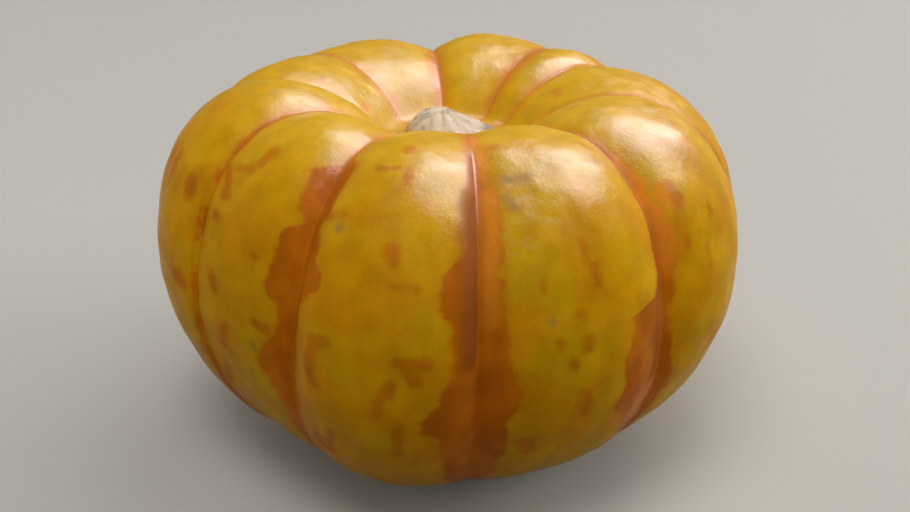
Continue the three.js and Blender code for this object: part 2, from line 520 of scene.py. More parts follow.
GROOVES = (
    Groove(-146, 17, 0.6, -2.5, 0, LEFT_FRONT_STREAK),
    Groove(-117, -17, 1, 2.5, -0.4, FRONT_LEFT_STREAK),
    Groove(-85, -4, 0.65, 0, 0, FRONT_STREAK, 0.4),
    Groove(-47.8, 5, 1.15, 0, 0.2, FRONT_RIGHT_STREAK),
    Groove(-10, -20, 0.75, 0.2, -1.1, RIGHT_STREAK),
    Groove(36, 1, 1, -3, -0.4, RIGHT_BACK_STREAK),
    Groove(56.5, -2, 0.6, 1.6, -0.6, BACK_RIGHT_STREAK),
    Groove(97.5, 2, 1.5, 1.4, -1, BACK_STREAK, 0.15),
    Groove(140, -6, 0.5, -3, 0.2, BACK_LEFT_STREAK),
    Groove(178, -10, 0.6, 0.2, 1.3, LEFT_STREAK),
)


class Lobe(Enum):
    """The lobes, counterclockwise. Each has the number of the groove that it follows."""

    LEFT_FRONT = 0
    FRONT_LEFT = 1
    FRONT_RIGHT = 2
    RIGHT_FRONT = 3
    RIGHT = 4
    RIGHT_BACK = 5
    BACK_RIGHT = 6
    BACK = 7
    BACK_LEFT = 8
    LEFT = 9


FAR_LOBES = (Lobe.RIGHT, Lobe.RIGHT_BACK, Lobe.BACK_RIGHT, Lobe.BACK, Lobe.BACK_LEFT, Lobe.LEFT)


class Marking(Enum):
    """The marks on the skin, each with the name of the value that its vertices carry."""

    STREAK = "streak"
    FLECK = "fleck"
    SCUFF = "scuff"
    RUB = "rub"
    # painted light: brighter orange on groove walls that face the light
    GLOW = "painted_light"
    # painted shade: darker, rougher groove walls
    SHADE = "shade"


@dataclass(frozen=True)
class Dash:
    """A short mark on one lobe.

    `across` and `share` place its first end, and `run` and `fall` are how far it goes round the
    fruit and down it, in mm. `width` is its width in mm.
    """

    lobe: Lobe
    across: float
    share: float
    run: float
    fall: float
    width: float


def on_lobe(lobe: Lobe, *rows: tuple[float, float, float, float, float]) -> tuple[Dash, ...]:
    """Marks on one lobe, from rows of across, share, run, fall and width."""
    return tuple(Dash(lobe, *row) for row in rows)


FLECKS = (
    *on_lobe(
        Lobe.FRONT_RIGHT,
        (0.1, 0.338, 0.9, 0.4, 1.5), (0.47, 0.445, 0.3, 3.4, 0.9), (0.51, 0.463, 0.2, 2.6, 1.7),
        (0.45, 0.492, -0.7, 0.5, 1), (0.47, 0.514, 0.2, 1.5, 1.7), (0.34, 0.512, 0.4, 0.5, 1.3),
        (0.41, 0.53, 0.2, 0.6, 1.4), (0.48, 0.555, 0.6, 4.2, 2.1), (0.24, 0.602, 0.7, 2, 2.6),
        (0.27, 0.468, 0.1, 1.6, 0.9),
    ),
    *on_lobe(
        Lobe.FRONT_LEFT,
        (0.49, 0.352, 0.5, 0.9, 1.5), (0.34, 0.38, 3.2, 0.2, 0.9), (0.55, 0.38, 0.2, 2.6, 1.1),
        (0.12, 0.426, 3, -0.3, 0.8), (0.55, 0.447, 0.3, 1, 2), (0.56, 0.47, 3.6, 0.3, 1),
        (0.62, 0.517, 4, 0.5, 1.6), (0.66, 0.52, 1, 2.4, 1.7), (0.6, 0.532, -2, 3.2, 1.5),
        (0.54, 0.552, -0.5, 0.7, 1.6), (0.27, 0.511, -1.8, 0.5, 1.7), (0.17, 0.515, -0.3, 5.2, 1.8),
        (0.17, 0.543, 2, 0.4, 1.3), (0.62, 0.565, 0.1, 6.6, 1.1), (0.27, 0.585, -1.6, 6, 1.7),
        (0.15, 0.6, -1, 6, 1.8),
    ),
    *on_lobe(
        Lobe.LEFT_FRONT,
        (0.45, 0.38, -0.5, 2.4, 2), (0.36, 0.405, -3.2, 0.8, 1.5), (0.2, 0.425, -4, -2.4, 1.8),
        (0.25, 0.435, -1.6, 0.3, 1.8), (0.2, 0.455, -1, 0.2, 1.6), (0.63, 0.472, 0.4, 0.2, 1.6),
        (0.24, 0.503, 0.3, 2, 2), (0.66, 0.524, 2.6, 0.5, 1.6), (0.34, 0.54, -1.8, 4, 1.9),
        (0.16, 0.585, -1.4, 4.5, 2),
    ),
    *on_lobe(
        Lobe.RIGHT_FRONT,
        (0.15, 0.468, 0.1, 0.9, 1.5), (0.35, 0.455, 0.1, 0.9, 1.2), (0.28, 0.48, 0.1, 3.4, 0.8),
        (0.13, 0.424, 0.6, 2.2, 3.6),
    ),
    *on_lobe(Lobe.LEFT, (0.87, 0.445, 0.4, 1.2, 3), (0.86, 0.52, 1.6, 0.3, 3)),
    *on_lobe(Lobe.RIGHT, (0.36, 0.236, 2.4, 0.1, 1.5)),
    *on_lobe(Lobe.BACK, (0.9, 0.16, 0.2, 6, 1), (0.88, 0.24, 0.4, 4, 1.2)),
    *on_lobe(Lobe.BACK_LEFT, (0.68, 0.2, 1.4, 0.1, 1.4), (0.74, 0.275, 1.6, 0.1, 1.5)),
)

SCUFFS = (
    *on_lobe(
        Lobe.FRONT_RIGHT,
        (0.15, 0.385, 3.4, 0.3, 1.6), (0.15, 0.402, 0.9, 1.6, 1.3), (0.3, 0.497, 0.3, 0.3, 0.9),
    ),
    *on_lobe(Lobe.FRONT_LEFT, (0.22, 0.434, 0.5, 0.5, 0.9), (0.14, 0.6, 0.9, 2.6, 1)),
    *on_lobe(Lobe.LEFT_FRONT, (0.63, 0.545, 0.3, 0.9, 1)),
)

RUBS = (
    *on_lobe(
        Lobe.FRONT_RIGHT,
        (0.22, 0.4, 3.4, 3.2, 4.4), (0.38, 0.37, 3.6, 0.6, 3), (0.17, 0.435, 0.6, 2.4, 2.2),
    ),
)

# Painted light: bands of brighter orange on groove walls that face the light.
PAINTED_LIGHT_BANDS = (
    *on_lobe(Lobe.FRONT_RIGHT, (0.01, 0.29, 1.2, 14, 1.8), (0.06, 0.395, -0.6, 20, 2.4)),
    *on_lobe(Lobe.RIGHT_FRONT, (0.06, 0.38, 0, 18, 4.4)),
)

# Painted shade: darker and rougher groove walls that turn away from the light.
SHADES = (
    *on_lobe(Lobe.FRONT_LEFT, (0.99, 0.35, -0.3, 7, 1.6), (0.97, 0.4, -0.4, 24, 3.4)),
    *on_lobe(Lobe.FRONT_RIGHT, (0.955, 0.495, -0.3, 16, 3.2)),
)

OUTSIDE = -5.0  # how deep inside a mark a vertex counts that is far from all of them, in mm


@dataclass
class Fruit:
    """The ribbed fruit, as one closed skin.

    The skin starts as the outline turned round the axis. A node tree then presses the grooves in,
    swells the lobes and gives the skin its small relief. The lobes' rounding makes `lobe_share` of
    a groove's depth, and the narrow fold at its bottom makes the rest. The shoulder's and belly's
    numbers count rows of the outline. A form comes or goes over a span of the outline's shares, the
    pit and its nub over one of shares of the blossom scar, and scuffs and rubs over one of mm.
    """

    columns_per_lobe: int = 48
    rows: int = 184
    hidden_floor: float = 8
    hidden_weight: float = 0.3
    lobe_round: float = 1.9
    lobe_crease: float = 0.85
    crease_width: float = 0.4
    lobe_share: float = 0.82
    fold_depth: float = 0.9
    fold_width: float = 4
    fold_near_side: float = 0.45
    fold_sharpness: float = 1.2
    fold_starts: Span = (0.32, 0.48)
    fold_ends: Span = (0.6, 0.47)
    shoulder_at: float = 5
    shoulder_reach: float = 3
    belly_at: float = 8
    belly_reach: float = 4
    foot_groove_depth: float = 0.45
    foot_groove_at: float = 11
    foot_groove_reach: float = 8
    foot_height: float = 20
    blossom_radius: float = 3.4
    blossom_depth: float = 0.8
    pit_span: Span = (1.0, 0.55)
    nub_span: Span = (0.3, 0.1)
    relief_starts: Span = (0.12, 0.22)
    relief_ends: Span = (0.84, 0.7)
    hills: tuple[Relief, ...] = (
        Relief("Sway", 1.2, 18, 1.0), Relief("Dent", 0.7, 7, 1.0), Relief("Dimple", 0.22, 3.2, 2.0)
    )
    grain: Relief = Relief("Grain", 0.35, 1.4, 1.0)
    scuff_span: Span = (-1.5, 0.5)
    rub_span: Span = (-2.0, 1.0)
    flecks_per_far_lobe: int = 9
    fleck_across: Span = (0.1, 0.75)
    fleck_share: Span = (0.4, 0.64)
    fleck_length: Span = (0.6, 5)
    fleck_width: Span = (0.8, 1.9)
    upright_flecks: float = 0.6
    upright_lean: float = 0.6
    lying_lean: float = 0.4
    seed: int = 7
    outline: Outline = field(default_factory=lambda: Outline(OUTLINE))

    def row_shares(self) -> np.ndarray:
        """Shares of the outline for the rows, evenly spaced but sparse on the floor under the scar."""
        length = self.outline.lengths(FINE_SHARES)
        weight = np.where(length[1:] < self.hidden_floor, self.hidden_weight, 1.0) * np.diff(length)
        run = np.concatenate(([0], np.cumsum(weight)))
        return np.interp(np.linspace(0, run[-1], self.rows + 1), run, FINE_SHARES)

    @staticmethod
    def hump(value: np.ndarray, centre: float, reach: float) -> np.ndarray:
        """A smooth hump of height 1 at the centre that is 0 from reach away."""
        away = np.minimum(np.abs(value - centre) / reach, 1)
        return np.cos(away * math.pi / 2) ** 2

    def grid(self) -> Grid:
        """Every vertex of the turned outline, by rows and columns, with what it carries.

        Returns:
            Arrays of rows by columns: the place of each vertex and its values by name.
        """
        share = self.row_shares()[:, None]
        column = np.arange(len(GROOVES) * self.columns_per_lobe)
        lobe = column // self.columns_per_lobe
        across = (column % self.columns_per_lobe) / self.columns_per_lobe
        starts = np.concatenate([groove.azimuth(share) for groove in GROOVES], axis=1)
        ends = np.concatenate((starts[:, 1:], starts[:, :1] + 360), axis=1)
        start, end = starts[:, lobe], ends[:, lobe]
        azimuth = np.radians(start + (end - start) * across)
        ones = np.ones_like(azimuth)

        def turned(section: np.ndarray) -> np.ndarray:
            """Radial and vertical parts by rows, turned round the axis."""
            out = section[..., 0]
            return np.stack((out * np.cos(azimuth), out * np.sin(azimuth), section[..., 1] * ones), -1)

        ridge = self.outline.at(share[:, 0])[:, None, :]
        outward = self.outline.outward(share[:, 0])[:, None, :]
        depth = np.concatenate([groove.depth_at(share) for groove in GROOVES], axis=1)
        next_depth = np.roll(depth, -1, axis=1)
        groove_depth = depth[:, lobe] + (next_depth - depth)[:, lobe] * across
        along = share * self.outline.last
        side = np.array([groove.side for groove in GROOVES])[lobe]
        top = np.array([groove.top for groove in GROOVES])[lobe]
        radius = ridge[..., 0]
        foot = self.hump(radius, self.foot_groove_at, self.foot_groove_reach) * (share > 0.5)
        return {
            "share": share * ones,
            "lobe": lobe * ones,
            "across": across * ones,
            "width": radius * np.radians(end - start),
            "length": self.outline.lengths(share) * ones,
            "cut": self.lobe_share * ridge[..., 2] * groove_depth + self.foot_groove_depth * foot,
            "swell": side * self.hump(along, self.belly_at, self.belly_reach)
            + top * self.hump(along, self.shoulder_at, self.shoulder_reach),
            "place": turned(ridge),
            "outward": turned(outward),
        }

    def streaks(self, grid: Grid) -> np.ndarray:
        """How deep inside a streak each vertex lies, in mm, and below 0 outside them."""
        share = grid["share"][:, 0]
        lobe = grid["lobe"][0].astype(int)
        befores, afters = zip(*(groove.spread(share) for groove in GROOVES))
        after = np.stack(afters, axis=1)[:, lobe]
        before = np.stack(befores, axis=1)[:, (lobe + 1) % len(GROOVES)]
        inside = np.maximum(after - grid["across"], before - (1 - grid["across"]))
        return inside * grid["width"]

    def dashes(self, grid: Grid, marks: tuple[Dash, ...]) -> np.ndarray:
        """How deep inside one of the short marks each vertex lies, in mm, and below 0 outside them."""
        deepest = np.full(grid["share"].shape, OUTSIDE)
        for mark in marks:
            on_lobe = grid["lobe"] == mark.lobe.value
            start = self.outline.lengths(np.array([mark.share]))[0]
            x = (grid["across"] - mark.across) * grid["width"]
            y = grid["length"] - start
            size = mark.run**2 + mark.fall**2
            along = np.clip((x * mark.run + y * mark.fall) / size, 0, 1)
            away = np.hypot(x - along * mark.run, y - along * mark.fall)
            inside = np.where(on_lobe, mark.width / 2 - away, OUTSIDE)
            deepest = np.maximum(deepest, inside)
        return deepest

    def hidden_flecks(self) -> tuple[Dash, ...]:
        """Short marks at random on the lobes of the far side, of the same kind as those in front."""
        draw = random.Random(self.seed)
        marks = []
        for lobe in FAR_LOBES:
            for _ in range(self.flecks_per_far_lobe):
                upright = draw.random() < self.upright_flecks
                length = draw.uniform(*self.fleck_length)
                across = draw.uniform(*self.fleck_across)
                share = draw.uniform(*self.fleck_share)
                most = self.upright_lean if upright else self.lying_lean
                lean = draw.uniform(-most, most)
                run, fall = (lean, length) if upright else (length, lean)
                marks.append(Dash(lobe, across, share, run, fall, draw.uniform(*self.fleck_width)))
        return tuple(marks)

    def blank(self, name: str) -> bpy.types.Object:
        """The turned outline as a mesh that carries what the node tree and the finish read."""
        grid = self.grid()
        grid[Marking.STREAK.value] = self.streaks(grid)
        dashes = {
            Marking.FLECK: FLECKS + self.hidden_flecks(),
            Marking.SCUFF: SCUFFS,
            Marking.RUB: RUBS,
            Marking.GLOW: PAINTED_LIGHT_BANDS,
            Marking.SHADE: SHADES,
        }
        for marking, marks in dashes.items():
            grid[marking.value] = self.dashes(grid, marks)
        names = ("across", "width", "cut", "swell", "share", *(mark.value for mark in Marking), "outward")
        return closed_skin(name, grid["place"], {key: grid[key] for key in names})

    def ribs(self, tree: ShapeTree) -> tuple[Socket, Socket]:
        """How far the lobes' rounding and the folds between them lift the skin, in mm."""
        lobe_round = tree.size("Lobe roundness", self.lobe_round)
        lobe_crease = tree.size("Crease sharpness", self.lobe_crease)
        crease_width = tree.size("Crease width", self.crease_width)
        fold_depth = tree.size("Fold depth", self.fold_depth)
        fold_width = tree.size("Fold width", self.fold_width)
        across = tree.own("across")
        share = tree.own("share")
        half_width = tree.times(tree.own("width"), 0.5)
        off_ridge = tree.math("ABSOLUTE", tree.add(tree.times(across, 2.0), -1.0))
        from_groove = tree.times(tree.math("SUBTRACT", 1.0, off_ridge), half_width)
        squares = tree.add(tree.times(from_groove, from_groove), tree.times(crease_width, crease_width))
        softened = tree.math("DIVIDE", tree.math("SQRT", squares), tree.most(half_width, 0.01))
        off = tree.math("SUBTRACT", 1.0, softened, clamp=True)
        rest = tree.math("SUBTRACT", 1.0, tree.math("POWER", off, lobe_round))
        crown = tree.math("POWER", rest, lobe_crease)
        drop = tree.math("SUBTRACT", 1.0, crown)
        lobes = tree.math("SUBTRACT", tree.times(tree.own("swell"), crown), tree.times(tree.own("cut"), drop))
        before = tree.math("GREATER_THAN", across, 0.5)
        wall = tree.times(fold_width, tree.fade(before, 0.0, 1.0, 1.0, self.fold_near_side))
        beside = tree.math("SUBTRACT", 1.0, tree.math("DIVIDE", from_groove, wall), clamp=True)
        flank = tree.times(tree.fade(share, *self.fold_starts), tree.fade(share, *self.fold_ends))
        folded = tree.times(tree.math("POWER", beside, self.fold_sharpness), flank, fold_depth, -1.0)
        return lobes, folded

    def blossom_scar(self, tree: ShapeTree, place: Socket) -> tuple[Socket, Socket]:
        """How far the pit of the blossom end and the nub in it lift the skin, in mm."""
        radius = tree.size("Blossom scar radius", self.blossom_radius)
        depth = tree.size("Blossom scar depth", self.blossom_depth)
        away = tree.node("ShaderNodeSeparateXYZ", {0: place}).outputs
        from_axis = tree.math("SQRT", tree.add(tree.times(away[0], away[0]), tree.times(away[1], away[1])))
        below = tree.math("LESS_THAN", away[2], self.foot_height * MM)
        ring = tree.math("DIVIDE", tree.times(from_axis, 1 / MM), radius)
        pit = tree.times(tree.fade(ring, *self.pit_span), below, depth, -1.0)
        nub = tree.times(tree.fade(ring, *self.nub_span), below, depth, 0.5)
        return pit, nub

    def surface(self, tree: ShapeTree, place: Socket) -> tuple[Socket, Socket]:
        """How far the skin's own relief and its rubbed places lift it, in mm."""
        seed = tree.size("Seed", float(self.seed))
        share = tree.own("share")
        calm = tree.times(tree.fade(share, *self.relief_starts), tree.fade(share, *self.relief_ends))
        hills = (tree.relief(hill, place, seed) for hill in self.hills)
        scuffed = tree.fade(tree.own("scuff"), *self.scuff_span)
        rubbed = tree.fade(tree.own("rub"), *self.rub_span)
        rough = tree.times(tree.most(scuffed, rubbed), tree.relief(self.grain, place, seed))
        return tree.times(calm, tree.add(*hills)), rough

    def rib_tree(self) -> ShapeTree:
        """The tree that turns the blank into the ribbed fruit."""
        tree = ShapeTree("ribbed skin")
        place = tree.position()
        heights = (*self.ribs(tree), *self.blossom_scar(tree, place), *self.surface(tree, place))
        tree.finish(tree.own("outward", "FLOAT_VECTOR"), tree.times(tree.add(*heights), MM))
        return tree

    def build(self, material: bpy.types.Material) -> bpy.types.Object:
        """Makes the fruit and dresses it.

        Args:
            material: The skin's material.

        Returns:
            The finished piece.
        """
        piece = self.blank("ribbed_fruit")
        self.rib_tree().apply(piece, material)
        for name in ("cut", "swell", "outward", "width"):
            piece.data.attributes.remove(piece.data.attributes[name])
        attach(piece, "root")
        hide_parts("fruit")
        return piece


# ---- The stem's scar ---------------------------------------------------------------------------


@dataclass(frozen=True)
class EdgeWave:
    """A wave in the scar's edge."""

    waves: int
    size: float
    start: float


@dataclass
class StemScar:
    """The low mound of cork that is left where the stem broke off, steep on its left."""

    columns: int = 180
    rows: int = 60
    top_share: float = 0.8
    radius: float = 7.4
    centre: tuple[float, float] = (-0.5, 0)
    edge: tuple[EdgeWave, ...] = (EdgeWave(2, 0.22, 0), EdgeWave(3, 0.2, 75), EdgeWave(5, 0.14, 10))
    underside: float = 52.9
    rim: float = 0.5
    rise: float = 3.6
    slope: float = 1.35
    slope_lean: float = 0.7
    peak: tuple[float, float] = (-1.5, 1.2)
    flat: float = 0.16
    flat_blend: float = 0.05
    flutes: int = 9
    flute_depth: float = 0.22
    crumb_height: float = 0.16
    crumb_size: float = 2
    grain: Relief = Relief("Grain", 0.22, 0.5, 2.0)
    ridges: float = 5
    ridge_height: float = 0.3
    ridge_span: Span = (0.3, 0.7)
    relief_starts: Span = (0.0, 0.03)
    relief_ends: Span = (1.0, 0.9)
    seed: int = 3

    def place(self, azimuth: np.ndarray, share: np.ndarray) -> np.ndarray:
        """Where the scar's skin is, from its peak at share 0 round its edge to its middle below."""
        edge = self.radius + sum(
            wave.size * np.cos(wave.waves * azimuth - math.radians(wave.start)) for wave in self.edge
        )
        below = share > self.top_share
        reach = np.where(below, (1 - share) / (1 - self.top_share), share / self.top_share)
        shift = np.where(below, 0, 1 - reach)
        x = self.centre[0] + edge * reach * np.cos(azimuth) + self.peak[0] * shift
        y = self.centre[1] + edge * reach * np.sin(azimuth) + self.peak[1] * shift
        flutes = self.flute_depth * np.cos(self.flutes * azimuth) * np.sin(math.pi * reach)
        slope = self.slope - self.slope_lean * np.cos(azimuth)
        past_flat = np.hypot(np.maximum(reach - self.flat, 0), self.flat_blend)
        fallen = (past_flat / math.hypot(1 - self.flat, self.flat_blend)) ** slope
        top = self.underside + self.rim + self.rise * (1 - fallen) + flutes
        return np.stack((x, y, np.where(below, self.underside, top)), -1)

    def blank(self, name: str) -> bpy.types.Object:
        """The smooth cone, with how near each vertex is to the edge."""
        share = np.linspace(0, 1, self.rows + 1)[:, None]
        azimuth = np.linspace(0, 2 * math.pi, self.columns, endpoint=False)[None, :]
        reach = np.where(share > self.top_share, 0, share / self.top_share) * np.ones_like(azimuth)
        return closed_skin(name, self.place(azimuth, share), {"reach": reach})

    def crumb_tree(self) -> ShapeTree:
        """The tree that sets the torn fibres' ridges and the crumbs of cork into the mound."""
        tree = ShapeTree("torn cork")
        crumb_height = tree.size("Crumb height", self.crumb_height)
        crumb_size = tree.size("Crumb size", self.crumb_size)
        ridges = tree.size("Ridges", self.ridges)
        ridge_height = tree.size("Ridge height", self.ridge_height)
        seed = tree.size("Seed", float(self.seed))
        place = tree.position()
        reach = tree.own("reach")

        around = tree.vector("NORMALIZE", {0: tree.vector("MULTIPLY", {0: place, 1: (1, 1, 0)})})
        fibres = tree.cloud(around, ridges, 2.0, seed)
        torn = tree.times(tree.add(fibres, -0.5), tree.fade(reach, *self.ridge_span), ridge_height)

        feeds = {"Vector": place, "W": seed, "Scale": tree.math("DIVIDE", 1 / MM, crumb_size)}
        nodules = tree.node("ShaderNodeTexVoronoi", feeds, voronoi_dimensions="4D").outputs["Distance"]
        crumbs = tree.times(tree.math("SUBTRACT", 0.6, nodules), crumb_height)
        grain = tree.relief(self.grain, place, seed)

        upper = tree.times(tree.fade(reach, *self.relief_starts), tree.fade(reach, *self.relief_ends))
        height = tree.times(tree.add(torn, crumbs, grain), upper, MM)
        tree.finish(tree.node("GeometryNodeInputNormal").outputs[0], height)
        return tree

    def build(self, material: bpy.types.Material) -> bpy.types.Object:
        """Makes the scar and dresses it.

        Args:
            material: The cork's material.

        Returns:
            The finished piece.
        """
        piece = self.blank("cork_scar")
        self.crumb_tree().apply(piece, material)
        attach(piece, "root")
        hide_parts("stem_scar")
        return piece


# ---- Finishes ----------------------------------------------------------------------------------

UPRIGHT = (1, 1, 1.8)  # patches of colour are longer upwards
BLOCK_SHAPE = (1, 1, 1.3)
NET_SHAPE = (1.8, 1.8, 1)


@dataclass(frozen=True)
class Look:
    """How a kind of mark shows: its ragged edge, in mm, and how strong it is.

    `waves` and `grains` are how much of the skin's waves and grains its edge has, and `edge` is
    between which depths inside the mark it comes in.
    """

    marking: Marking
    waves: float
    grains: float
    edge: Span
    strength: float = 1.0


@dataclass(frozen=True)
class SkinFinish:
    """Waxy golden rind with orange streaks, flecks and rubbed places, with painted light on some groove walls
    and painted shade on others and in the creases.

    Ramps that are named above or below run along the outline by its share.
    """

    gold: Colour = (0.66, 0.293, 0.002)
    pale_gold: Colour = (0.67, 0.36, 0.003)
    deep_gold: Colour = (0.64, 0.233, 0.002)
    high_gold: Colour = (0.7, 0.4, 0.008)
    gold_clouds: Clouds = Clouds(13, 3, 0.0, (0.4, 0.6))
    high_above: Ramp = (0.46, 0.3, 0.0, 0.9)
    warm_clouds: Clouds = Clouds(6, 4, 4.0, (0.5, 0.66), UPRIGHT)
    warm_below: Ramp = (0.28, 0.46, 0.1, 0.6)
    smudges: Clouds = Clouds(2.4, 3, 11.0, (0.6, 0.72), UPRIGHT)
    smudged_below: Ramp = (0.3, 0.42, 0.0, 0.22)

    orange: Colour = (0.6, 0.165, 0.003)
    deep_orange: Colour = (0.5, 0.125, 0.003)
    pale_orange: Colour = (0.7, 0.24, 0.012)
    # painted light: the bright orange of groove walls that face the light
    lit_orange: Colour = (0.86, 0.29, 0.02)
    deep_clouds: Clouds = Clouds(5, 3, 9.0, (0.4, 0.62), UPRIGHT)
    pale_above: Ramp = (0.4, 0.28)
    # where the bands of painted light show, by share
    lit_above: Ramp = (0.54, 0.44, 0.0, 0.85)

    block_size: float = 3.4
    block_depth: float = 0.7
    waves: Clouds = Clouds(2.6, 1)
    wave_depth: float = 1.5
    grains: Clouds = Clouds(0.8, 2, 3.0)
    grain_depth: float = 0.6
    ragged_below: Ramp = (0.3, 0.42, 0.5, 1.0)
    soft_above: Ramp = (0.28, 0.42, 1.1, 0.5)
    halo_edge: Span = (-2.4, 0.2)
    halo_strength: float = 0.4
    fleck: Look = Look(Marking.FLECK, 1.2, 1.0, (-0.7, 0.6), 0.75)
    # painted light bands on groove walls
    painted_light: Look = Look(Marking.GLOW, 0.4, 0.0, (-1.2, 0.8))
    # painted shade on groove walls
    shade: Look = Look(Marking.SHADE, 0.6, 0.0, (-1.6, 1.2), 0.9)
    scuff: Look = Look(Marking.SCUFF, 1.0, 1.0, (-0.9, 0.7), 0.6)
    rub: Look = Look(Marking.RUB, 0.0, 0.0, (-1.8, 1.4), 0.4)

    # painted shade: the dark orange of shaded groove walls and creases
    painted_shade_colour: Colour = (0.34, 0.085, 0.002)
    # painted shade in the creases at the groove bottoms, which are also rougher
    crease_edge: Span = (0.92, 0.985)
    creased_above: Ramp = (0.62, 0.5)
    crease_shade_strength: float = 0.3
    bruise: Colour = (0.33, 0.16, 0.05)
    cork: Colour = (0.7, 0.5, 0.2)
    net: Clouds = Clouds(1.6, 3, 2.0, (0.48, 0.64), NET_SHAPE)
    mottle: Clouds = Clouds(3.6, 4, 8.0, (0.32, 0.68, 0.88, 1.05), UPRIGHT)

    gloss: float = 0.03
    wax: Clouds = Clouds(2.2, 3, 5.0, (0.3, 0.7, 0.28, 0.42))
    worn_roughness: float = 0.62
    furrow_roughness: float = 0.85
    pores: Clouds = Clouds(0.6, 2, 6.0)
    pits: Clouds = Clouds(1.7, 2, 7.0)
    pit_share: float = 1.6
    peel_depth: float = 0.05

    def golds(self, tree: MaterialTree, share: Socket) -> Socket:
        """The ground's colour: gold in soft clouds, palest on the shoulder."""
        gold = tree.blend(tree.patches(self.gold_clouds), self.gold, self.pale_gold)
        gold = tree.blend(tree.fade(share, *self.high_above), gold, self.high_gold)
        warm = tree.times(tree.patches(self.warm_clouds), tree.fade(share, *self.warm_below))
        smudge = tree.times(tree.patches(self.smudges), tree.fade(share, *self.smudged_below))
        return tree.blend(smudge, tree.blend(warm, gold, self.deep_gold), self.orange)

    def oranges(self, tree: MaterialTree, share: Socket, painted_light: Socket) -> Socket:
        """The marks' colour: orange in soft clouds, paler on the shoulder, and brighter in the bands of
        painted light on groove walls.
        """
        orange = tree.blend(tree.patches(self.deep_clouds), self.orange, self.deep_orange)
        orange = tree.blend(tree.fade(share, *self.pale_above), orange, self.pale_orange)
        return tree.blend(tree.times(painted_light, tree.fade(share, *self.lit_above)), orange, self.lit_orange)

    def material(self) -> bpy.types.Material:
        """Builds the skin's material."""
        tree = MaterialTree("striped rind")
        share = tree.own("share")
        ragged = tree.fade(share, *self.ragged_below)
        blocks, waves, grains = (
            tree.times(tree.add(pattern, -0.5), depth, ragged)
            for pattern, depth in (
                (tree.cells(self.block_size, BLOCK_SHAPE), self.block_depth),
                (tree.noise(self.waves), self.wave_depth),
                (tree.noise(self.grains), self.grain_depth),
            )
        )

        def shown(look: Look) -> Socket:
            """Where a kind of mark shows, from 0 to 1."""
            edge = (tree.times(waves, look.waves), tree.times(grains, look.grains))
            return tree.fade(tree.add(tree.own(look.marking.value), *edge), *look.edge)

        fleck, painted_light, shade, scuff = (shown(look) for look in (self.fleck, self.painted_light, self.shade, self.scuff))
        rub = tree.times(shown(self.rub), tree.patches(self.net))
        inside = tree.add(tree.own("streak"), blocks, waves, grains)
        streak = tree.fade(tree.math("DIVIDE", inside, tree.fade(share, *self.soft_above)), -1.0, 1.0)
        halo = tree.fade(inside, *self.halo_edge)
        off_ridge = tree.math("ABSOLUTE", tree.add(tree.times(tree.own("across"), 2.0), -1.0))
        # where the creases are painted darker, as shade, and made rougher
        crease_shade_and_matt = tree.times(tree.fade(off_ridge, *self.crease_edge), tree.fade(share, *self.creased_above))

        orange = self.oranges(tree, share, painted_light)
        striped = tree.most(streak, tree.times(fleck, self.fleck.strength))
        # painted shade in the creases and on shaded groove walls
        painted_shade = tree.most(tree.times(shade, self.shade.strength), tree.times(crease_shade_and_matt, self.crease_shade_strength))
        colour = tree.blend(tree.times(halo, self.halo_strength), self.golds(tree, share), self.deep_gold)
        colour = tree.blend(striped, colour, orange)
        colour = tree.blend(painted_shade, colour, self.painted_shade_colour)
        colour = tree.blend(tree.times(scuff, self.scuff.strength), colour, self.bruise)
        colour = tree.blend(tree.times(rub, self.rub.strength), colour, self.cork)
        tree.feed(tree.shader.inputs["Base Color"], tree.scaled(colour, tree.patches(self.mottle)))

        tree.shader.inputs["Specular IOR Level"].default_value = self.gloss
        worn = tree.times(tree.most(scuff, rub), self.worn_roughness)
        matt = tree.most(worn, tree.times(tree.most(crease_shade_and_matt, shade), self.furrow_roughness))
        tree.feed(tree.shader.inputs["Roughness"], tree.most(tree.patches(self.wax), matt))
        peel = tree.add(tree.noise(self.pores), tree.times(tree.noise(self.pits), self.pit_share))
        tree.bump(peel, self.peel_depth)
        return tree.material


